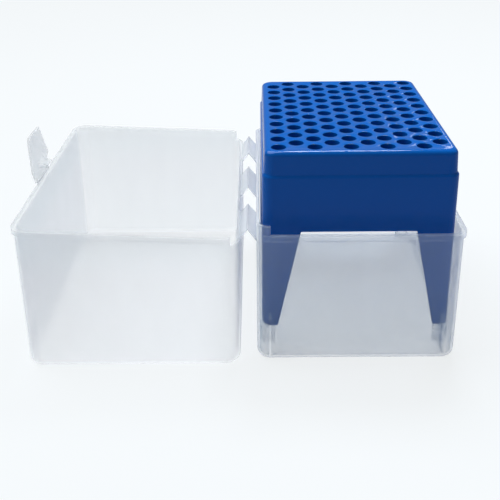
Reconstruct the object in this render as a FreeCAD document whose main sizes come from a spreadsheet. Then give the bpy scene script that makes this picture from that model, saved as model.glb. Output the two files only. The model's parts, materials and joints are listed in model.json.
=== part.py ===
import FreeCAD, Part
import math
import os

import Sketcher

# A hinged box for pipette tips, in millimetres, standing open on a table.
# The origin is the centre of the base's underside. +Z is up, +X points from the hinge to the
# base's catch, and the lid lies open on the -X side, standing on its own top.
# Pieces: base_box and lid (one frosted moulding joined by three strap hinges), the latch_tab on
# the lid's far wall, and the loose tip_rack that stands on its four legs inside the base.

doc = FreeCAD.newDocument("PipetteTipBox")
sheet = doc.addObject("Spreadsheet::Sheet", "Sizes")
sheet.set("A1", "name")
sheet.set("B1", "value")
sheet.set("C1", "what it is")


class Size:
    """A number and the sheet formula that gives it, so that a sketch is drawn true and stays bound."""

    def __init__(self, value, formula):
        self.value = value
        self.formula = formula

    def __neg__(self):
        return Size(-self.value, f"(0 - {self.formula})")

    def __add__(self, other):
        other = sized(other)
        return Size(self.value + other.value, f"({self.formula} + {other.formula})")

    def __sub__(self, other):
        other = sized(other)
        return Size(self.value - other.value, f"({self.formula} - {other.formula})")

    def __mul__(self, factor):
        return Size(self.value * factor, f"({self.formula} * {factor})")

    def __truediv__(self, divisor):
        return Size(self.value / divisor, f"({self.formula} / {divisor})")


def sized(thing):
    """Any plain number becomes a Size whose formula is the number itself."""
    return thing if isinstance(thing, Size) else Size(thing, f"({thing})")


rows = []


def cell(alias, value, note):
    """One driving dimension: a row of the sheet, and the Size that reads it."""
    row = len(rows) + 2
    rows.append(alias)
    sheet.set(f"A{row}", alias)
    sheet.set(f"B{row}", str(value))
    sheet.setAlias(f"B{row}", alias)
    sheet.set(f"C{row}", note)
    return Size(value, f"Sizes.{alias}")


# Walls shared by the base and the lid
wall = cell("wall_thickness", 1.4, "walls and floors of the base and the lid")
floor_round = cell("floor_round", 4.5, "outside radius where walls meet the floor")
floor_bevel = cell("floor_bevel", 1.9, "bevel inside, where walls meet the floor")
band_height = cell("band_height", 3.0, "height of the thicker band round a rim")
band_proud = cell("band_proud", 1.2, "how far that band stands out from the wall")

# Base
base_width = cell("base_width", 103.7, "outside, along X, at the rim")
base_depth = cell("base_depth", 148.5, "outside, along Y, at the rim")
base_height = cell("base_height", 73.6, "table to the rim")
base_corner = cell("base_corner", 7.0, "radius of the upright corners")
hinge_raise = cell("hinge_raise", 4.9, "how much higher the hinge wall stands than the rim")
hinge_wrap = cell("hinge_wrap", 7.0, "how far the higher wall runs round its two corners")

# Lid, which is a little larger and closes over the base's band
lid_width = cell("lid_width", 111.1, "outside, along X, at the rim")
lid_depth = cell("lid_depth", 157.5, "outside, along Y, at the rim")
lid_latch_height = cell("lid_latch_height", 79.6, "table to the rim at the latch wall")
lid_hinge_height = cell("lid_hinge_height", 74.6, "table to the rim at the hinge end")
lid_notch = cell("lid_notch", 4.0, "how far that lower cut runs round the two hinge corners")
lid_corner = cell("lid_corner", 8.0, "radius of the upright corners")
hinge_edge = cell("hinge_edge", 69.8, "top of the lid's hinge wall, cut lower for the base's raised wall")

# Strap hinges: two stiff leaves meet in a thin crease, like a small tent
hinge_reach = cell("hinge_reach", 4.4, "crease to each wall, along X")
crease_level = cell("crease_level", 74.3, "height of the crease above the table")
crease_gap = cell("crease_gap", 0.15, "each leaf stops this far short of the crease")
leaf_drop = cell("leaf_drop", 7.4, "crease down to the foot of a leaf")
leaf_foot = cell("leaf_foot", 1.6, "height of a leaf's foot on the wall")
leaf_edge = cell("leaf_edge", 0.5, "thickness of a leaf at the crease")
strap_length = cell("strap_length", 31.0, "along Y")
strap_spacing = cell("strap_spacing", 53.0, "between neighbouring straps, along Y")

# Ribs in the base's corners, which the rack's legs stand on
rib_thick = cell("rib_thickness", 1.4, "of every corner rib")
rib_across = cell("rib_across", 45.0, "base's middle to the ribs that run along Y")
rib_along = cell("rib_along", 60.0, "base's middle to the ribs that run along X")
rib_reach = cell("rib_reach", 7.0, "how far a rib runs in under the rack")
fence_height = cell("fence_height", 8.0, "how far a rib rises past the foot of a leg, beside it")
fence_gap = cell("fence_gap", 0.5, "between a leg and that higher stretch of rib")

# Catch under the base's rim
catch_width = cell("catch_width", 26.0, "along Y")
catch_play = cell("catch_play", 0.3, "hook's flat side to the catch's flat underside, when shut")
catch_height = cell("catch_height", 4.4, "of the catch where it leaves the wall")
catch_reach = cell("catch_reach", 3.9, "how far it stands out from the wall")

# Latch tab on the lid
tab_middle = cell("tab_middle", 7.0, "box's middle to the tab's middle, towards -Y")
tab_root = cell("tab_root", 0.8, "lid's rim up to the line that the tab turns about")
tab_offset = cell("tab_offset", 0.6, "lid's wall out to that line")
tab_lean = cell("tab_lean", 7.0, "outward lean at rest, in degrees")
tab_height = cell("tab_height", 25.0, "turning line to the tab's end")
tab_root_half = cell("tab_root_half", 14.9, "half width at the root, on the side towards -Y")
tab_far_half = cell("tab_far_half", 10.6, "the same half width on the side towards +Y")
tab_wide_half = cell("tab_wide_half", 17.1, "half width where it is widest")
tab_wide_at = cell("tab_wide_at", 6.7, "turning line to the widest place")
tab_end_half = cell("tab_end_half", 10.9, "half width at the end")
tab_thick = cell("tab_thickness", 1.2, "of the tab")
tab_round = cell("tab_round", 3.0, "radius of the corners at its end")
hook_rise = cell("hook_rise", 3.6, "height of the hook's ramp")
hook_width = cell("hook_width", 11.0, "along Y")
hook_lip = cell("hook_lip", 0.8, "flat edge of the hook and of the catch")
hook_at = cell("hook_at", 5.2, "turning line to the hook's flat side")
hook_depth = cell("hook_depth", 4.4, "how far the hook stands in from the tab")

# Tip rack
rack_top = cell("rack_top", 113.4, "table to the rack's top face")
rack_step = cell("rack_step", 101.4, "table to the small step round the rack")
rack_foot = cell("rack_foot", 16.0, "table to the feet of the legs")
rack_width = cell("rack_width", 98.4, "along X, across the feet")
rack_depth = cell("rack_depth", 130.5, "along Y, across the feet")
step_inset = cell("step_inset", 0.8, "width of the step on each side")
rack_draft = cell("rack_draft", 0.4, "how far each wall leans in above and below the step")
rack_corner = cell("rack_corner", 5.5, "radius of the upright corners")
rack_round = cell("rack_round", 2.6, "radius along the top edge")
rack_wall = cell("rack_wall", 2.2, "side walls and legs")
rack_plate = cell("rack_plate", 3.0, "top plate")
cut_level = cell("cut_level", 70.8, "table to the top of the openings between the legs")
front_cut_top = cell("front_cut_top", 29.3, "half width of the front and back openings, at the top")
front_cut_foot = cell("front_cut_foot", 41.3, "half width of the front and back openings, at the feet")
side_cut_top = cell("side_cut_top", 43.0, "half width of the side openings, at the top")
side_cut_foot = cell("side_cut_foot", 56.0, "half width of the side openings, at the feet")
hole_diameter = cell("hole_diameter", 7.5, "of each tip hole, across its corners")
gauge_diameter = cell("gauge_diameter", 7.6, "of the one tip hole that is fully round")
column_pitch = cell("column_pitch", 9.0, "between columns of holes, along X")
row_pitch = cell("row_pitch", 11.8, "between holes of one column, along Y")
columns = 10
holes_in_column = 10

doc.recompute()



def origin_feature(body, role):
    """The body's own base plane or axis of that role."""
    return next(f for f in body.Origin.OriginFeatures if f.Role == role)


def new_body(name, label):
    body = doc.addObject("PartDesign::Body", name)
    body.Label = label
    return body


def new_sketch(body, name, role, away=None):
    """A sketch on one of the body's base planes, moved away along that plane's normal."""
    sketch = body.newObject("Sketcher::SketchObject", name)
    sketch.AttachmentSupport = [(origin_feature(body, role), "")]
    sketch.MapMode = "FlatFace"
    if away is not None:
        away = sized(away)
        sketch.AttachmentOffset = FreeCAD.Placement(
            FreeCAD.Vector(0, 0, away.value), FreeCAD.Rotation())
        sketch.setExpression("AttachmentOffset.Base.z", away.formula)
    return sketch


def bind(sketch, kind, *where, size):
    """One dimension of a sketch, driven by the sheet."""
    index = sketch.addConstraint(Sketcher.Constraint(kind, *where, size.value))
    sketch.setExpression(f"Constraints[{index}]", size.formula)


def place_point(sketch, geometry, point, x, y):
    """Holds a point of the sketch at x, y from the sketch's origin."""
    for kind, size in (("DistanceX", x), ("DistanceY", y)):
        if size.value >= 0:
            bind(sketch, kind, -1, 1, geometry, point, size=size)
        else:
            bind(sketch, kind, geometry, point, -1, 1, size=-size)


def polygon(sketch, corners):
    """A closed outline of straight edges through the corners."""
    first = sketch.GeometryCount
    corners = [(sized(x), sized(y)) for x, y in corners]
    points = [FreeCAD.Vector(x.value, y.value, 0) for x, y in corners]
    count = len(points)
    for n in range(count):
        sketch.addGeometry(Part.LineSegment(points[n], points[(n + 1) % count]))
    for n in range(count):
        sketch.addConstraint(
            Sketcher.Constraint("Coincident", first + n, 2, first + (n + 1) % count, 1))
    for n, (x, y) in enumerate(corners):
        place_point(sketch, first + n, 1, x, y)


def rounded_outline(sketch, left, right, half_depth, radius):
    """A rectangle with round corners, from -left to right along X and half_depth each way in Y."""
    first = sketch.GeometryCount
    xl, xr, y, r = -left.value, right.value, half_depth.value, radius.value
    flats = [((xl + r, -y), (xr - r, -y)), ((xr, -y + r), (xr, y - r)),
             ((xr - r, y), (xl + r, y)), ((xl, y - r), (xl, -y + r))]
    turns = [(xr - r, -y + r, -90), (xr - r, y - r, 0), (xl + r, y - r, 90), (xl + r, -y + r, 180)]
    for (x0, y0), (x1, y1) in flats:
        sketch.addGeometry(Part.LineSegment(FreeCAD.Vector(x0, y0, 0), FreeCAD.Vector(x1, y1, 0)))
    for x, y_centre, start in turns:
        circle = Part.Circle(FreeCAD.Vector(x, y_centre, 0), FreeCAD.Vector(0, 0, 1), r)
        sketch.addGeometry(
            Part.ArcOfCircle(circle, math.radians(start), math.radians(start + 90)))
    for n in range(4):
        flat, turn, next_flat = first + n, first + 4 + n, first + (n + 1) % 4
        sketch.addConstraint(Sketcher.Constraint("Tangent", flat, 2, turn, 1))
        sketch.addConstraint(Sketcher.Constraint("Tangent", turn, 2, next_flat, 1))
        straight = "Horizontal" if n % 2 == 0 else "Vertical"
        sketch.addConstraint(Sketcher.Constraint(straight, flat))
        if n:
            sketch.addConstraint(Sketcher.Constraint("Equal", first + 4, turn))
    bind(sketch, "Radius", first + 4, size=radius)
    bind(sketch, "DistanceX", -1, 1, first + 1, 1, size=right)
    bind(sketch, "DistanceX", first + 3, 1, -1, 1, size=left)
    bind(sketch, "DistanceY", first + 0, 1, -1, 1, size=half_depth)
    bind(sketch, "DistanceY", -1, 1, first + 2, 1, size=half_depth)


def even_outline(sketch, width, depth, radius, inset=0):
    """A rounded outline centred on the origin, inset by the same amount all round."""
    inset = sized(inset)
    half = width / 2 - inset
    rounded_outline(sketch, half, half, depth / 2 - inset, radius - inset)


def loft(body, name, kind, upper, lower):
    """Straight-sided, from the upper outline down to the lower one."""
    feature = body.newObject(f"PartDesign::{kind}Loft", name)
    feature.Profile = upper
    feature.Sections = [lower]
    feature.Ruled = True
    doc.recompute()
    return feature


def level_edges(feature, level):
    """Names of the feature's edges that lie flat at that height."""
    names = []
    for number, edge in enumerate(feature.Shape.Edges, start=1):
        box = edge.BoundBox
        if abs(box.ZMin - level.value) < 1e-4 and abs(box.ZMax - level.value) < 1e-4:
            names.append(f"Edge{number}")
    return names


def fillet(body, name, feature, edges, radius):
    rounding = body.newObject("PartDesign::Fillet", name)
    rounding.Base = (feature, edges)
    rounding.Radius = radius.value
    rounding.setExpression("Radius", radius.formula)
    doc.recompute()
    return rounding


def pad(body, name, sketch, length, centred=False):
    feature = body.newObject("PartDesign::Pad", name)
    feature.Profile = sketch
    feature.SideType = "Symmetric" if centred else "One side"
    feature.Length = length.value
    feature.setExpression("Length", length.formula)
    doc.recompute()
    return feature


def pocket(body, name, sketch, depth=None):
    """Cuts a sketch down to a depth, or right through both ways; it must remove something."""
    before = body.Shape.Volume
    feature = body.newObject("PartDesign::Pocket", name)
    feature.Profile = sketch
    if depth is None:
        feature.SideType = "Symmetric"
        feature.Type = "ThroughAll"
    else:
        feature.Length = depth.value
        feature.setExpression("Length", depth.formula)
    doc.recompute()
    assert body.Shape.Volume < before - 1, name
    return feature


def repeated(body, name, originals, steps):
    """Repeats features: each step mirrors in a base plane, or copies along an axis at a spacing."""
    whole = body.newObject("PartDesign::MultiTransform", name)
    whole.Originals = originals
    parts = []
    for n, step in enumerate(steps):
        if len(step) == 1:
            part = body.newObject("PartDesign::Mirrored", f"{name}Step{n}")
            part.MirrorPlane = (origin_feature(body, step[0]), [""])
        else:
            role, spacing, count = step
            part = body.newObject("PartDesign::LinearPattern", f"{name}Step{n}")
            part.Direction = (origin_feature(body, role), [""])
            length = spacing * (count - 1)
            part.Length = length.value
            part.setExpression("Length", length.formula)
            part.Occurrences = count
        parts.append(part)
    whole.Transformations = parts
    body.Tip = whole
    doc.recompute()
    return whole


def tray(body, width, depth, height, corner):
    """An open box with walls of even thickness and a rounded floor, standing at Z 0."""
    outline = new_sketch(body, "Outline", "XY_Plane")
    even_outline(outline, width, depth, corner)
    block = pad(body, "Block", outline, height)
    fillet(body, "FloorRound", block, level_edges(block, sized(0)), floor_round)
    inside = new_sketch(body, "InsideOutline", "XY_Plane", height)
    even_outline(inside, width, depth, corner, wall)
    hollow = pocket(body, "Hollow", inside, height - wall)
    bevel = body.newObject("PartDesign::Chamfer", "FloorBevel")
    bevel.Base = (hollow, level_edges(hollow, wall))
    bevel.Size = floor_bevel.value
    bevel.setExpression("Size", floor_bevel.formula)
    doc.recompute()


def hinge_leaves(body, crease_x, side):
    """Three stiff leaves that slope from the crease down to a wall; side is the way to the wall."""
    wall_x = crease_x + (hinge_reach + wall / 2) * side
    tip_x = crease_x + crease_gap * side
    foot = crease_level - leaf_drop
    tip = crease_level - crease_gap
    profile = new_sketch(body, "LeafProfile", "XZ_Plane", strap_spacing)
    polygon(profile, [
        (wall_x, foot), (wall_x, foot + leaf_foot), (tip_x, tip), (tip_x, tip - leaf_edge)])
    front_leaf = pad(body, "FrontLeaf", profile, strap_length, centred=True)
    repeated(body, "Leaves", [front_leaf], [("Y_Axis", strap_spacing, 3)])


# Base: a tray whose hinge wall stands higher than its rim, with a band round the rim
base = new_body("BaseBox", "base_box")
half_base = base_width / 2
tray(base, base_width, base_depth, base_height + hinge_raise, base_corner)
above = base_height + hinge_raise + 1
rim_cut = new_sketch(base, "RimCut", "XZ_Plane")
polygon(rim_cut, [
    (hinge_wrap - half_base, base_height), (half_base + 1, base_height),
    (half_base + 1, above), (hinge_wrap - half_base, above)])
pocket(base, "LowerRim", rim_cut)

band_inner = wall / 2
band_hidden = wall / 4
base_band = new_sketch(base, "BandOutline", "XY_Plane", base_height - band_height)
rounded_outline(
    base_band, half_base - band_hidden, half_base + band_proud,
    base_depth / 2 + band_proud, base_corner + band_proud)
even_outline(base_band, base_width, base_depth, base_corner, band_inner)
pad(base, "Band", base_band, band_height)

# Two crossed ribs in each corner of the base: a leg of the rack stands on both, and the higher
# stretch of one keeps it from sliding outwards
rib_floor = wall / 2
rib_cut = floor_round * 0.6
leg_x = rack_width / 2
leg_y = rack_depth / 2
wall_x = half_base - wall / 2
wall_y = base_depth / 2 - wall / 2
across_profile = new_sketch(base, "AcrossRibProfile", "YZ_Plane", rib_across)
polygon(across_profile, [
    (rib_cut - wall_y, rib_floor), (-wall_y, rib_floor + rib_cut),
    (-wall_y, rack_foot + fence_height),
    (-(leg_y + fence_gap), rack_foot + fence_height), (-(leg_y + fence_gap), rack_foot),
    (rib_reach - leg_y, rack_foot), (rib_reach - leg_y, rib_floor)])
across_rib = pad(base, "AcrossRib", across_profile, rib_thick, centred=True)
along_profile = new_sketch(base, "AlongRibProfile", "XZ_Plane", rib_along)
polygon(along_profile, [
    (wall_x - rib_cut, rib_floor), (wall_x, rib_floor + rib_cut), (wall_x, rack_foot),
    (leg_x - rib_reach, rack_foot), (leg_x - rib_reach, rib_floor)])
along_rib = pad(base, "AlongRib", along_profile, rib_thick, centred=True)
repeated(base, "CornerRibs", [across_rib, along_rib], [("YZ_Plane",), ("XZ_Plane",)])

# Catch: a ledge with a flat underside that the tab's hook snaps under
shut_rim = crease_level * 2 - lid_latch_height
catch_level = shut_rim - tab_root - hook_at + catch_play
catch_profile = new_sketch(base, "CatchProfile", "XZ_Plane", tab_middle)
polygon(catch_profile, [
    (wall_x, catch_level), (half_base + catch_reach, catch_level),
    (half_base + catch_reach, catch_level + hook_lip), (wall_x, catch_level + catch_height)])
pad(base, "Catch", catch_profile, catch_width, centred=True)
hinge_leaves(base, -(half_base + hinge_reach), 1)

# Lid: a wider tray with a sloping rim and its hinge wall cut low, standing on its closed side
lid = new_body("Lid", "lid")
half_lid = lid_width / 2
tray(lid, lid_width, lid_depth, lid_latch_height, lid_corner)
slope = new_sketch(lid, "SlopeCut", "XZ_Plane")
above = lid_latch_height + 1
polygon(slope, [
    (-half_lid, lid_latch_height), (half_lid, lid_hinge_height),
    (half_lid + 1, lid_hinge_height), (half_lid + 1, above), (-half_lid, above)])
pocket(lid, "SlopingRim", slope)

lid_band = new_sketch(lid, "BandOutline", "XY_Plane")
middle_rim = (lid_latch_height + lid_hinge_height) / 2
tilt = math.atan2(lid_latch_height.value - lid_hinge_height.value, lid_width.value)
lid_band.AttachmentOffset = FreeCAD.Placement(
    FreeCAD.Vector(0, 0, middle_rim.value),
    FreeCAD.Rotation(FreeCAD.Vector(0, 1, 0), math.degrees(tilt)))
lid_band.setExpression("AttachmentOffset.Base.z", middle_rim.formula)
lid_band.setExpression(
    "AttachmentOffset.Rotation.Angle",
    "atan2(Sizes.lid_latch_height - Sizes.lid_hinge_height; Sizes.lid_width)")
rounded_outline(
    lid_band, half_lid + band_proud, half_lid - band_hidden,
    lid_depth / 2 + band_proud, lid_corner + band_proud)
even_outline(lid_band, lid_width, lid_depth, lid_corner, band_inner)
band = pad(lid, "Band", lid_band, band_height)
band.Reversed = True
doc.recompute()

notch = new_sketch(lid, "NotchCut", "XZ_Plane")
polygon(notch, [
    (half_lid - lid_notch, hinge_edge), (half_lid + 1, hinge_edge),
    (half_lid + 1, above), (half_lid - lid_notch, above)])
pocket(lid, "LowHingeWall", notch)
hinge_leaves(lid, half_lid + hinge_reach, -1)
lid_middle = -(half_base + hinge_reach * 2 + half_lid)
lid.Placement = FreeCAD.Placement(FreeCAD.Vector(lid_middle.value, 0, 0), FreeCAD.Rotation())
lid.setExpression("Placement.Base.x", lid_middle.formula)

# Latch tab: a leaf-shaped plate that turns about a line beside the lid's far rim, with a hook
# on the side that faces the base when the box is shut
tab = new_body("LatchTab", "latch_tab")
tab_outline = new_sketch(tab, "TabOutline", "YZ_Plane", -tab_thick)
polygon(tab_outline, [
    (-tab_root_half, 0), (tab_far_half, 0), (tab_far_half, tab_wide_at * 0.7),
    (tab_wide_half, tab_wide_at), (tab_end_half, tab_height),
    (-tab_end_half, tab_height), (-tab_wide_half, tab_wide_at)])
plate = pad(tab, "Plate", tab_outline, tab_thick)
plate_end = []
for number, edge in enumerate(plate.Shape.Edges, start=1):
    box = edge.BoundBox
    if box.ZMax - box.ZMin < 1e-4 and box.YMax - box.YMin < 1e-4 and box.ZMin > tab_height.value - 1:
        plate_end.append(f"Edge{number}")
fillet(tab, "EndRound", plate, plate_end, tab_round)
hook_profile = new_sketch(tab, "HookProfile", "XZ_Plane")
inside_tab = -(tab_thick / 2)
polygon(hook_profile, [
    (inside_tab, hook_at), (hook_depth, hook_at), (hook_depth, hook_at + hook_lip),
    (inside_tab, hook_at + hook_rise)])
pad(tab, "Hook", hook_profile, hook_width, centred=True)
doc.recompute()
tab_x = -(half_base + hinge_reach * 2 + lid_width + tab_offset)
tab_z = lid_latch_height + tab_root
tab.Placement = FreeCAD.Placement(
    FreeCAD.Vector(tab_x.value, -tab_middle.value, tab_z.value),
    FreeCAD.Rotation(FreeCAD.Vector(0, -1, 0), tab_lean.value))
tab.setExpression("Placement.Base.x", tab_x.formula)
tab.setExpression("Placement.Base.y", (-tab_middle).formula)
tab.setExpression("Placement.Base.z", tab_z.formula)
tab.setExpression("Placement.Rotation.Angle", "Sizes.tab_lean")

# Tip rack: a deep upside-down tray on four corner legs, with a small step below its top. It is
# one moulding, made here as its frame and its plate, which meet at the plate's underside.
leaned = rack_draft + step_inset
plate_under = rack_top - rack_plate


def rack_top_block(body):
    """The rack's outside above the step, drafted like the real moulding."""
    top_rim = new_sketch(body, "TopOutline", "XY_Plane", rack_top)
    even_outline(top_rim, rack_width, rack_depth, rack_corner, leaned + rack_draft)
    step_rim = new_sketch(body, "AboveStepOutline", "XY_Plane", rack_step)
    even_outline(step_rim, rack_width, rack_depth, rack_corner, leaned)
    return loft(body, "Upper", "Additive", top_rim, step_rim)


def full_cut(body, name, level, depth):
    """Takes away everything in the rack's outline from that level down to the depth."""
    outline = new_sketch(body, f"{name}Outline", "XY_Plane", level)
    even_outline(outline, rack_width, rack_depth, rack_corner, -1)
    pocket(body, name, outline, depth)


# Rack frame: the walls and legs, open at the top, where the plate closes it
frame = new_body("RackFrame", "rack_frame")
below_step = new_sketch(frame, "BelowStepOutline", "XY_Plane", rack_step)
even_outline(below_step, rack_width, rack_depth, rack_corner, rack_draft)
foot_rim = new_sketch(frame, "FootOutline", "XY_Plane", rack_foot)
even_outline(foot_rim, rack_width, rack_depth, rack_corner)
loft(frame, "Skirt", "Additive", below_step, foot_rim)
rack_top_block(frame)
full_cut(frame, "PlateRoom", rack_top, rack_plate)

# Its inside follows the step
for name, inset, top in (
        ("LowerHollow", rack_draft + rack_wall, rack_step - rack_wall),
        ("UpperHollow", leaned + rack_draft + rack_wall, plate_under)):
    inside = new_sketch(frame, f"{name}Outline", "XY_Plane", top)
    even_outline(inside, rack_width, rack_depth, rack_corner, inset)
    pocket(frame, name, inside, top - rack_foot)

for name, plane, at_top, at_foot in (
        ("FrontCut", "XZ_Plane", front_cut_top, front_cut_foot),
        ("SideCut", "YZ_Plane", side_cut_top, side_cut_foot)):
    cut = new_sketch(frame, f"{name}Outline", plane)
    polygon(cut, [
        (-at_top, cut_level), (at_top, cut_level),
        (at_foot, rack_foot - 1), (-at_foot, rack_foot - 1)])
    pocket(frame, name, cut)

# Hole plate: the rack's flat top with its rounded edge
plate = new_body("HolePlate", "hole_plate")
block = rack_top_block(plate)
fillet(plate, "TopRound", block, level_edges(block, rack_top), rack_round)
full_cut(plate, "FrameRoom", plate_under, rack_top - rack_step)

# Tip holes, each with fourteen sides
holes = new_sketch(plate, "FirstHoles", "XY_Plane", rack_top)
first_x = -(column_pitch * ((columns - 1) / 2))
first_y = -(row_pitch * ((holes_in_column - 0.5) / 2))
sides = 14
for x, y in ((first_x, first_y), (first_x + column_pitch, first_y + row_pitch / 2)):
    turns = [math.radians(360 * (n + 0.5) / sides) for n in range(sides)]
    polygon(holes, [
        (x + hole_diameter * (math.cos(t) / 2), y + hole_diameter * (math.sin(t) / 2))
        for t in turns])
two_holes = pocket(plate, "TwoHoles", holes, rack_plate * 1.5)
repeated(plate, "TipHoles", [two_holes], [
    ("X_Axis", column_pitch * 2, columns // 2), ("Y_Axis", row_pitch, holes_in_column)])

# Gauge hole: the hole just before the middle of the grid is made fully round, to seat a tip in
gauge = new_sketch(plate, "GaugeHole", "XY_Plane", rack_top)
gauge.addGeometry(Part.Circle(
    FreeCAD.Vector(0, 0, 0), FreeCAD.Vector(0, 0, 1), gauge_diameter.value / 2))
place_point(gauge, 0, 3, first_x + column_pitch * 4, first_y + row_pitch * 4)
bind(gauge, "Radius", 0, size=gauge_diameter / 2)
pocket(plate, "RoundHole", gauge, rack_plate * 1.5)

doc.recompute()
for item in doc.Objects:
    assert "Invalid" not in item.State and "Error" not in item.State, (item.Label, item.State)

os.makedirs("parts", exist_ok=True)
for body in (base, lid, tab, frame, plate):
    shape = body.Shape
    assert not shape.isNull() and shape.isValid(), body.Label
    assert len(shape.Solids) == 1, (body.Label, len(shape.Solids))
    shape.exportStep(f"parts/{body.Label}.step")
    print(body.Label, round(shape.Volume), shape.BoundBox)
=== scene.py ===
import json
import math

import bmesh
import bpy
from mathutils import Matrix, Vector


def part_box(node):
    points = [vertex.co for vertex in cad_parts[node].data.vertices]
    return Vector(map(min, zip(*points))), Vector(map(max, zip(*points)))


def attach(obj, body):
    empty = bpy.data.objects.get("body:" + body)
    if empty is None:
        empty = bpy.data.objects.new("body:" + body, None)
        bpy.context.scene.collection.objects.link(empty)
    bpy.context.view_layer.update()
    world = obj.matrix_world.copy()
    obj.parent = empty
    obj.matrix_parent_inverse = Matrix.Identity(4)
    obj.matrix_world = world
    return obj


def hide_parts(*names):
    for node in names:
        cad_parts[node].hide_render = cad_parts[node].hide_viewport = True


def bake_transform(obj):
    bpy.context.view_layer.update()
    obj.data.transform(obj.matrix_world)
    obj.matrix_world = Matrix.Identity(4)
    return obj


# Everything is in metres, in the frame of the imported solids: the origin is the centre of the
# base's underside, +Z is up and the lid lies open on the -X side.
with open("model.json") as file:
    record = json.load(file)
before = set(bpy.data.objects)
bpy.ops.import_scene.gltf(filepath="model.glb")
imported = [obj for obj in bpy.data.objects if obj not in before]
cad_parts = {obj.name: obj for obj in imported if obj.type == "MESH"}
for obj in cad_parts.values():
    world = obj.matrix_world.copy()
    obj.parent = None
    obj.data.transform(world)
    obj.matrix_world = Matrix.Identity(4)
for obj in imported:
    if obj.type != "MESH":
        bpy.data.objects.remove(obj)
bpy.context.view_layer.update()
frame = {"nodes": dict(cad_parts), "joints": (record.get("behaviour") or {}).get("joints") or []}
scene = bpy.context.scene
scene.view_settings.view_transform = "Standard"

# ------------------------------------------------------------------------------------------
# Frosted shell: the base and the lid are one thin moulding of natural polypropylene. Its walls
# let most light through and scatter the rest, and its fine grain takes the edge off the gloss.


def new_material(name):
    """A fresh material, with its node tree and its main shader."""
    made = bpy.data.materials.new(name)
    made.use_nodes = True
    tree = made.node_tree
    tree.nodes.clear()
    shader = tree.nodes.new("ShaderNodeBsdfPrincipled")
    output = tree.nodes.new("ShaderNodeOutputMaterial")
    tree.links.new(shader.outputs["BSDF"], output.inputs["Surface"])
    return made, tree, shader


def object_noise(tree, scale, detail, stretch=(1, 1, 1)):
    """Noise on the piece's own coordinates, stretched along its axes."""
    place = tree.nodes.new("ShaderNodeTexCoord")
    mapping = tree.nodes.new("ShaderNodeMapping")
    mapping.inputs["Scale"].default_value = stretch
    noise = tree.nodes.new("ShaderNodeTexNoise")
    noise.inputs["Scale"].default_value = scale
    noise.inputs["Detail"].default_value = detail
    tree.links.new(place.outputs["Object"], mapping.inputs["Vector"])
    tree.links.new(mapping.outputs["Vector"], noise.inputs["Vector"])
    return noise.outputs["Fac"]


def spread(tree, source, start, end, low, high):
    """A value that goes from low to high while the source goes from its start to its end."""
    ramp = tree.nodes.new("ShaderNodeMapRange")
    for name, number in (("From Min", start), ("From Max", end), ("To Min", low), ("To Max", high)):
        ramp.inputs[name].default_value = number
    tree.links.new(source, ramp.inputs["Value"])
    return ramp.outputs["Result"]


def added(tree, source, factor, rest):
    """The source times a factor, on top of the rest."""
    node = tree.nodes.new("ShaderNodeMath")
    node.operation = "MULTIPLY_ADD"
    node.inputs[1].default_value = factor
    tree.links.new(source, node.inputs[0])
    tree.links.new(rest, node.inputs[2])
    return node.outputs[0]


def blended_colour(tree, share, first, second):
    """A colour between two, by a share from 0 to 1; the first may be another node's."""
    node = tree.nodes.new("ShaderNodeMix")
    node.data_type = "RGBA"
    ends = [socket for socket in node.inputs if socket.type == "RGBA"]
    if isinstance(first, bpy.types.NodeSocket):
        tree.links.new(first, ends[0])
    else:
        ends[0].default_value = (*first, 1)
    ends[1].default_value = (*second, 1)
    tree.links.new(share, node.inputs[0])
    return next(socket for socket in node.outputs if socket.type == "RGBA")


frosted, tree, shader = new_material("frosted_polypropylene")
shader.inputs["IOR"].default_value = 1.49
shader.inputs["Subsurface Weight"].default_value = 1
shader.inputs["Subsurface Radius"].default_value = (1, 1, 1)
shader.inputs["Subsurface Scale"].default_value = 0.008
shader.inputs["Subsurface Anisotropy"].default_value = 0.85
own_place = tree.nodes.new("ShaderNodeTexCoord")
own_axes = tree.nodes.new("ShaderNodeSeparateXYZ")
tree.links.new(own_place.outputs["Object"], own_axes.inputs["Vector"])
cloud = object_noise(tree, 30, 2, (1, 1, 0.35))
# Towards the rim the haze is thicker, and the wall's colour turns to a painted shade, greyer than at the
# foot
RIM_LEVEL = 0.08
rim_shade_and_haze = spread(tree, own_axes.outputs["Z"], 0, RIM_LEVEL, 0, 1)
colour = blended_colour(tree, rim_shade_and_haze, (0.92, 1.0, 0.99), (0.67, 0.71, 0.715))
haze = added(tree, rim_shade_and_haze, 0.07, spread(tree, cloud, 0.3, 0.7, 0.12, 0.14))
# From the hinge on, the walls stand round the rack and look hazier; the rack's blue light, scattered in
# them, is painted into their colour as a blue tint
RACK_GLOW_STARTS, RACK_GLOW_FULL = -0.060, -0.052
rack_glow_and_haze = spread(tree, own_axes.outputs["X"], RACK_GLOW_STARTS, RACK_GLOW_FULL, 0, 0.85)
colour = blended_colour(tree, rack_glow_and_haze, colour, (0.54, 0.66, 1.0))
haze = added(tree, rack_glow_and_haze, 0.025, haze)
# A slanting look passes through more of the wall, so the haze thickens towards the outlines
slant = tree.nodes.new("ShaderNodeLayerWeight")
slant.inputs["Blend"].default_value = 0.5
slant_share = tree.nodes.new("ShaderNodeMath")
slant_share.operation = "POWER"
slant_share.inputs[1].default_value = 4
tree.links.new(slant.outputs["Facing"], slant_share.inputs[0])
haze = added(tree, slant_share.outputs[0], 0.45, haze)
tree.links.new(colour, shader.inputs["Base Color"])
tree.links.new(haze, shader.inputs["Alpha"])
tree.links.new(spread(tree, cloud, 0.3, 0.7, 0.30, 0.40), shader.inputs["Roughness"])


EDGE = 0.00035


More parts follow.
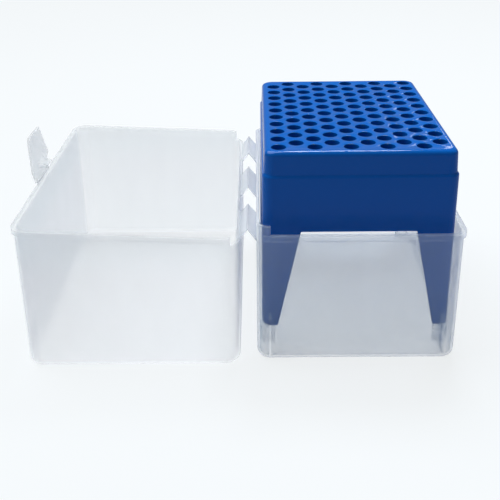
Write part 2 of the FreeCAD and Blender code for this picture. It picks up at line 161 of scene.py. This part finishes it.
def moulded_copy(node, name, body):
    """A merged copy of a solid of the shell with its sharp edges eased, standing for that solid."""
    shape = bmesh.new()
    shape.from_mesh(frame["nodes"][node].data)
    bmesh.ops.remove_doubles(shape, verts=shape.verts, dist=1e-6)
    bmesh.ops.dissolve_limit(
        shape, angle_limit=math.radians(0.3), verts=shape.verts, edges=shape.edges)
    mesh = bpy.data.meshes.new(name)
    shape.to_mesh(mesh)
    shape.free()
    piece = bpy.data.objects.new(name, mesh)
    scene.collection.objects.link(piece)
    mesh.materials.append(frosted)
    for face in mesh.polygons:
        face.use_smooth = True
    mesh.set_sharp_from_angle(angle=math.radians(28))
    eased = piece.modifiers.new("Eased edges", "BEVEL")
    eased.width = EDGE
    eased.segments = 2
    eased.limit_method = "ANGLE"
    eased.angle_limit = math.radians(40)
    eased.harden_normals = True
    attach(piece, body)
    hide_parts(node)


moulded_copy("base_box", "base_shell", "base")
moulded_copy("lid", "lid_shell", "lid")
moulded_copy("latch_tab", "tab_plate", "latch_tab")

# ------------------------------------------------------------------------------------------
# Hinge webs: the thin creases between the stiff leaves of the three strap hinges, and the one at the
# root of the latch tab. They are the same moulding as the shell, drawn as thin strips; the strap webs
# sag a little at the crease.
hinge = next(joint for joint in frame["joints"] if joint["name"] == "lid_hinge")
flex = next(joint for joint in frame["joints"] if joint["name"] == "latch_flex")
WEB_THICK = 0.0004
WEB_STEPS = 8


def web(name, line, half_length, reach, droop, along, up):
    """A thin strip along Y that crosses a bending line, from one body's side to the other's."""
    mesh = bpy.data.meshes.new(name)
    points, faces = [], []
    for n in range(WEB_STEPS + 1):
        out = (n / WEB_STEPS * 2 - 1) * reach
        centre = line + along * out - up * abs(out) * droop
        for side in (-1, 1):
            for skin in (-0.5, 0.5):
                points.append(centre + up * skin * WEB_THICK + Vector((0, side * half_length, 0)))
    for n in range(WEB_STEPS):
        here, there = n * 4, n * 4 + 4
        faces += [(here, there, there + 2, here + 2), (here + 1, here + 3, there + 3, there + 1),
                  (here, here + 1, there + 1, there), (here + 2, there + 2, there + 3, here + 3)]
    last = WEB_STEPS * 4
    faces += [(0, 2, 3, 1), (last, last + 1, last + 3, last + 2)]
    mesh.from_pydata(points, [], faces)
    mesh.materials.append(frosted)
    piece = bpy.data.objects.new(name, mesh)
    scene.collection.objects.link(piece)
    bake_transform(piece)


crease = Vector(hinge["pos_m"])
STRAP_HALF = 0.0155
STRAP_SPACING = 0.053
STRAP_REACH = 0.0006
STRAP_DROOP = 0.9
AWAY = Vector((1, 0, 0))
UP = Vector((0, 0, 1))
for number in range(3):
    strap_middle = crease + Vector((0, (number - 1) * STRAP_SPACING, 0))
    web(f"hinge_web_{number + 1}", strap_middle, STRAP_HALF, STRAP_REACH, STRAP_DROOP,
        AWAY, UP)

# The tab's root bends along a flat web that stands upright
TAB_ROOT_HALF = 0.0125
TAB_ROOT_SHIFT = -0.00215
TAB_ROOT_REACH = 0.0008
tab_line = Vector(flex["pos_m"]) + Vector((0, TAB_ROOT_SHIFT, 0))
web("tab_web", tab_line, TAB_ROOT_HALF, TAB_ROOT_REACH, 0, UP, AWAY)

# ------------------------------------------------------------------------------------------
# Tip rack: one glossy blue moulding, an upside-down tray on four corner legs. A small step runs
# round it below the top, and one hundred holes with softened lips go through its plate.
rack_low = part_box("rack_frame")[0]
rack_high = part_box("hole_plate")[1]
LEAN = 0.0004
STEP_IN = 0.0008
STEP_LEVEL = 0.1014
RACK_WALL = 0.0022
RACK_PLATE = 0.0030
STEP_SLOPE = 0.0011
RACK_CORNER = 0.0055
CORNER_FADE = 0.25
TOP_ROUND = 0.0026
CORNER_STEPS = 10
ROUND_STEPS = 6
RACK_EDGE = 0.0004


def corner_ring(inset, level):
    """The rack's outline at a level, drawn in by an inset, counter-clockwise from above."""
    half_x = -rack_low.x - inset
    half_y = -rack_low.y - inset
    radius = RACK_CORNER - inset * CORNER_FADE
    ring = []
    for quarter in range(4):
        turn = math.radians(90 * quarter)
        sign_x = (1, -1, -1, 1)[quarter]
        sign_y = (1, 1, -1, -1)[quarter]
        for n in range(CORNER_STEPS + 1):
            angle = turn + math.radians(90) * n / CORNER_STEPS
            ring.append((
                sign_x * (half_x - radius) + radius * math.cos(angle),
                sign_y * (half_y - radius) + radius * math.sin(angle), level))
    return ring


leaned = LEAN * 2 + STEP_IN
profile = [(0, rack_low.z), (LEAN, STEP_LEVEL - STEP_SLOPE), (LEAN + STEP_IN, STEP_LEVEL)]
for n in range(ROUND_STEPS + 1):
    angle = math.radians(90) * n / ROUND_STEPS
    profile.append((
        leaned + TOP_ROUND * (1 - math.cos(angle)),
        rack_high.z - TOP_ROUND * (1 - math.sin(angle))))
top_ring = len(profile) - 1
profile += [
    (leaned + RACK_WALL, rack_high.z - RACK_PLATE), (leaned + RACK_WALL, STEP_LEVEL - RACK_WALL),
    (LEAN + RACK_WALL, STEP_LEVEL - RACK_WALL), (LEAN + RACK_WALL, rack_low.z)]
rings = [corner_ring(inset, height) for inset, height in profile]
count = len(rings[0])
points = [point for ring in rings for point in ring]
faces = []
for number in range(len(rings)):
    here = number * count
    there = (number + 1) % len(rings) * count
    if number == top_ring:
        faces.append([here + n for n in range(count)])
        faces.append([there + n for n in reversed(range(count))])
        continue
    for n in range(count):
        m = (n + 1) % count
        faces.append((here + n, here + m, there + m, there + n))
rack_mesh = bpy.data.meshes.new("rack_body")
rack_mesh.from_pydata(points, [], faces)
rack_blank = bpy.data.objects.new("rack_blank", rack_mesh)
scene.collection.objects.link(rack_blank)

# Openings between the legs, wider at the feet, cut through both pairs of walls
ARCH_TOP = 0.0708
FRONT_ARCH_TOP_HALF, FRONT_ARCH_FOOT_HALF = 0.0293, 0.0413
SIDE_ARCH_TOP_HALF, SIDE_ARCH_FOOT_HALF = 0.043, 0.056
CUTTER_HALF = 0.1
CUTTER_UNDER = 0.002


def arch_cutter(name, top_half, foot_half, through_y):
    """A long prism with the trapezium outline of one pair of openings."""
    foot = rack_low.z - CUTTER_UNDER
    outline = [(-foot_half, foot), (foot_half, foot), (top_half, ARCH_TOP), (-top_half, ARCH_TOP)]
    if through_y:
        ends = [[(across, side * CUTTER_HALF, height) for across, height in outline] for side in (-1, 1)]
    else:
        ends = [[(side * CUTTER_HALF, across, height) for across, height in outline] for side in (1, -1)]
    mesh = bpy.data.meshes.new(name)
    sides = [(n, (n + 1) % 4, (n + 1) % 4 + 4, n + 4) for n in range(4)]
    mesh.from_pydata(ends[0] + ends[1], [], [(3, 2, 1, 0), (4, 5, 6, 7)] + sides)
    shape = bmesh.new()
    shape.from_mesh(mesh)
    bmesh.ops.recalc_face_normals(shape, faces=shape.faces)
    shape.to_mesh(mesh)
    shape.free()
    cutter = bpy.data.objects.new(name, mesh)
    scene.collection.objects.link(cutter)
    return cutter


cutters = [arch_cutter("front_arch", FRONT_ARCH_TOP_HALF, FRONT_ARCH_FOOT_HALF, True),
           arch_cutter("side_arch", SIDE_ARCH_TOP_HALF, SIDE_ARCH_FOOT_HALF, False)]
for cutter in cutters:
    cut = rack_blank.modifiers.new(cutter.name, "BOOLEAN")
    cut.operation = "DIFFERENCE"
    cut.object = cutter
rack_eased = rack_blank.modifiers.new("Eased edges", "BEVEL")
rack_eased.width = RACK_EDGE
rack_eased.segments = 2
rack_eased.limit_method = "ANGLE"
rack_eased.angle_limit = math.radians(35)


def tip_hole_tree():
    """Cuts a staggered grid of round holes, each with a rounded lip, through the top plate."""
    made = bpy.data.node_groups.new("Tip holes", "GeometryNodeTree")
    made.interface.new_socket("Geometry", in_out="INPUT", socket_type="NodeSocketGeometry")
    for name in ("Column pitch", "Hole pitch", "Hole radius", "Lip", "Top level", "Plate"):
        made.interface.new_socket(name, in_out="INPUT", socket_type="NodeSocketFloat")
    for name in ("Columns", "Holes per column", "Sides"):
        made.interface.new_socket(name, in_out="INPUT", socket_type="NodeSocketInt")
    made.interface.new_socket("Material", in_out="INPUT", socket_type="NodeSocketMaterial")
    made.interface.new_socket("Geometry", in_out="OUTPUT", socket_type="NodeSocketGeometry")
    nodes, links = made.nodes, made.links
    given = nodes.new("NodeGroupInput").outputs
    result = nodes.new("NodeGroupOutput").inputs

    def fed(node, *things):
        for socket, thing in zip(node.inputs, things):
            if isinstance(thing, bpy.types.NodeSocket):
                links.new(thing, socket)
            else:
                socket.default_value = thing
        return node.outputs[0]

    def value(operation, *things):
        node = nodes.new("ShaderNodeMath")
        node.operation = operation
        return fed(node, *things)

    def vector(x, y, z):
        return fed(nodes.new("ShaderNodeCombineXYZ"), x, y, z)

    grid = nodes.new("GeometryNodeMeshGrid")
    links.new(value("MULTIPLY", given["Column pitch"], value("SUBTRACT", given["Columns"], 1)),
              grid.inputs["Size X"])
    links.new(value("MULTIPLY", given["Hole pitch"], value("SUBTRACT", given["Holes per column"], 1)),
              grid.inputs["Size Y"])
    links.new(given["Columns"], grid.inputs["Vertices X"])
    links.new(given["Holes per column"], grid.inputs["Vertices Y"])
    index = nodes.new("GeometryNodeInputIndex")
    column = value("FLOOR", value("DIVIDE", index.outputs[0], given["Holes per column"]))
    odd = value("MODULO", column, 2)
    stagger = value("MULTIPLY", given["Hole pitch"],
                    value("SUBTRACT", value("MULTIPLY", odd, 0.5), 0.25))
    staggered = nodes.new("GeometryNodeSetPosition")
    links.new(grid.outputs["Mesh"], staggered.inputs["Geometry"])
    links.new(vector(0, stagger, given["Top level"]), staggered.inputs["Offset"])

    bore = nodes.new("GeometryNodeMeshCylinder")
    links.new(given["Sides"], bore.inputs["Vertices"])
    links.new(given["Hole radius"], bore.inputs["Radius"])
    links.new(value("MULTIPLY", given["Plate"], 3), bore.inputs["Depth"])

    lip = nodes.new("GeometryNodeMeshCylinder")
    lip.inputs["Side Segments"].default_value = 5
    links.new(given["Sides"], lip.inputs["Vertices"])
    links.new(given["Hole radius"], lip.inputs["Radius"])
    links.new(value("MULTIPLY", given["Lip"], 1.25), lip.inputs["Depth"])
    place = nodes.new("GeometryNodeInputPosition")
    parts = nodes.new("ShaderNodeSeparateXYZ")
    links.new(place.outputs[0], parts.inputs[0])
    rise = value("MINIMUM", value("DIVIDE", value("ADD", parts.outputs["Z"],
                 value("MULTIPLY", given["Lip"], 0.625)), given["Lip"]), 1)
    round_out = value("SUBTRACT", 1, value("SQRT", value("SUBTRACT", 1, value("MULTIPLY", rise, rise))))
    grow = value("DIVIDE", value("MULTIPLY", round_out, given["Lip"]), given["Hole radius"])
    flared = nodes.new("GeometryNodeSetPosition")
    links.new(lip.outputs["Mesh"], flared.inputs["Geometry"])
    links.new(vector(value("MULTIPLY", parts.outputs["X"], grow),
                     value("MULTIPLY", parts.outputs["Y"], grow),
                     value("MULTIPLY", given["Lip"], -0.375)), flared.inputs["Offset"])

    cut = nodes.new("GeometryNodeMeshBoolean")
    cut.operation = "DIFFERENCE"
    cut.solver = "EXACT"
    links.new(given["Geometry"], cut.inputs["Mesh 1"])
    for shape in (bore.outputs["Mesh"], flared.outputs["Geometry"]):
        copies = nodes.new("GeometryNodeInstanceOnPoints")
        links.new(staggered.outputs["Geometry"], copies.inputs["Points"])
        links.new(shape, copies.inputs["Instance"])
        real = nodes.new("GeometryNodeRealizeInstances")
        links.new(copies.outputs["Instances"], real.inputs["Geometry"])
        links.new(real.outputs["Geometry"], cut.inputs["Mesh 2"])
    finished = nodes.new("GeometryNodeRealizeInstances")
    links.new(cut.outputs["Mesh"], finished.inputs["Geometry"])
    painted = nodes.new("GeometryNodeSetMaterial")
    links.new(finished.outputs["Geometry"], painted.inputs["Geometry"])
    links.new(given["Material"], painted.inputs["Material"])
    links.new(painted.outputs["Geometry"], result["Geometry"])
    return made


blue, tree, shader = new_material("blue_rack_plastic")
shader.inputs["Base Color"].default_value = (0.0, 0.102, 0.44, 1)
shader.inputs["Specular IOR Level"].default_value = 0.2
sheen = spread(tree, object_noise(tree, 55, 3), 0.3, 0.7, 0.10, 0.14)
tree.links.new(sheen, shader.inputs["Roughness"])

holes = rack_blank.modifiers.new("Tip holes", "NODES")
holes.node_group = tip_hole_tree()
hole_sizes = {"Column pitch": 0.009, "Hole pitch": 0.0118, "Hole radius": 0.00375, "Lip": 0.0003,
              "Top level": rack_high.z, "Plate": RACK_PLATE, "Columns": 10, "Holes per column": 10,
              "Sides": 36, "Material": blue}
for item in holes.node_group.interface.items_tree:
    if item.in_out == "INPUT" and item.name in hole_sizes:
        holes[item.identifier] = hole_sizes[item.name]
bpy.context.view_layer.update()
cut_rack = bpy.data.meshes.new_from_object(
    rack_blank.evaluated_get(bpy.context.evaluated_depsgraph_get()))
for leftover in [rack_blank] + cutters:
    bpy.data.objects.remove(leftover)
cut_rack.name = "blue_rack"
rack = bpy.data.objects.new("blue_rack", cut_rack)
scene.collection.objects.link(rack)
cut_rack.materials.clear()
cut_rack.materials.append(blue)
for face in cut_rack.polygons:
    face.use_smooth = True
cut_rack.set_sharp_from_angle(angle=math.radians(30))
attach(rack, "base")
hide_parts("rack_frame", "hole_plate")

# ------------------------------------------------------------------------------------------
# Floor and backdrop: one pale sheet, with a tint so faint that it reads as white.
floor_mesh = bpy.data.meshes.new("floor")
WIDE = 6
DROP = 0.0002
floor_mesh.from_pydata(
    [(-WIDE, -WIDE, 0), (WIDE, -WIDE, 0), (WIDE, WIDE, 0), (-WIDE, WIDE, 0)], [], [(0, 1, 2, 3)])
floor = bpy.data.objects.new("floor", floor_mesh)
floor.location.z = -DROP
scene.collection.objects.link(floor)
pale, tree, shader = new_material("pale_floor")
shader.inputs["Roughness"].default_value = 0.9
shader.inputs["Specular IOR Level"].default_value = 0
floor_mesh.materials.append(pale)


def seen_ray(tree):
    """1 for a ray that comes straight from the camera."""
    return tree.nodes.new("ShaderNodeLightPath").outputs["Is Camera Ray"]


# Seen directly the floor is nearly white, and four fifths of that is its own even tone, so
# its shadows stay faint. What it throws back at the box is a mid tone, so the sides stay deep.
tone = blended_colour(tree, seen_ray(tree), (0.36, 0.40, 0.50), (0.53, 0.60, 0.68))
tree.links.new(tone, shader.inputs["Base Color"])
share = tree.nodes.new("ShaderNodeMath")
share.operation = "MULTIPLY"
share.inputs[1].default_value = 0.8
tree.links.new(seen_ray(tree), share.inputs[0])
even_tone = tree.nodes.new("ShaderNodeEmission")
even_tone.inputs["Color"].default_value = (0.98, 1.0, 1.0, 1)
mix = tree.nodes.new("ShaderNodeMixShader")
tree.links.new(share.outputs[0], mix.inputs[0])
tree.links.new(shader.outputs["BSDF"], mix.inputs[1])
tree.links.new(even_tone.outputs["Emission"], mix.inputs[2])
output = next(node for node in tree.nodes if node.type == "OUTPUT_MATERIAL")
tree.links.new(mix.outputs["Shader"], output.inputs["Surface"])

# ------------------------------------------------------------------------------------------
# Light: an even white surround, a soft sun from above and behind, and two lamps that put the
# highlights on the rack's front edge and on its top.
world = bpy.data.worlds.new("even_white")
world.use_nodes = True
scene.world = world
tree = world.node_tree
surround = tree.nodes["Background"]
surround.inputs["Color"].default_value = (0.97, 0.985, 1.0, 1)
surround.inputs["Strength"].default_value = 0.2
backdrop = tree.nodes.new("ShaderNodeBackground")
backdrop.inputs["Color"].default_value = (0.93, 0.965, 0.99, 1)
backdrop.inputs["Strength"].default_value = 1
mix = tree.nodes.new("ShaderNodeMixShader")
tree.links.new(seen_ray(tree), mix.inputs[0])
tree.links.new(surround.outputs["Background"], mix.inputs[1])
tree.links.new(backdrop.outputs["Background"], mix.inputs[2])
tree.links.new(mix.outputs["Shader"], tree.nodes["World Output"].inputs["Surface"])


def lamp(name, kind, place, aim, energy, **settings):
    """A lamp at a place that points at another."""
    data = bpy.data.lights.new(name, kind)
    data.energy = energy
    for setting, value in settings.items():
        setattr(data, setting, value)
    made = bpy.data.objects.new(name, data)
    scene.collection.objects.link(made)
    made.location = place
    made.rotation_euler = (Vector(place) - Vector(aim)).to_track_quat("Z", "Y").to_euler()
    made.visible_camera = False


lamp("soft_sun", "SUN", (-0.45, 0.30, 1), (0, 0, 0), 2.8, angle=math.radians(50))
lamp("edge_lamp", "AREA", (0.083, 0.37, 0.9), (0, -0.06, 0.11), 5.0,
     shape="RECTANGLE", size=0.225, size_y=0.24)
lamp("corner_lamp", "AREA", (0.325, 0.95, 0.50), (0.04, -0.05, 0.11), 0.12,
     shape="RECTANGLE", size=0.08, size_y=0.08)

# ------------------------------------------------------------------------------------------
# Camera: a little above the open box, in front of the hinge.
camera_data = bpy.data.cameras.new("camera")
camera_data.lens = 56.419
camera_data.sensor_width = 36
camera_data.shift_y = -0.16
camera = bpy.data.objects.new("camera", camera_data)
scene.collection.objects.link(camera)
scene.camera = camera
pan, tilt, roll = math.radians(-0.53), math.radians(22.221), math.radians(0.708)
ahead = Vector((math.sin(pan) * math.cos(tilt), math.cos(pan) * math.cos(tilt), -math.sin(tilt)))
level_right = Vector((math.cos(pan), -math.sin(pan), 0))
down = ahead.cross(level_right)
right = level_right * math.cos(roll) + down * math.sin(roll)
up = level_right * math.sin(roll) - down * math.cos(roll)
turned = Matrix((right, up, -ahead)).transposed().to_4x4()
camera.matrix_world = Matrix.Translation((-0.05138, -0.41847, 0.24936)) @ turned
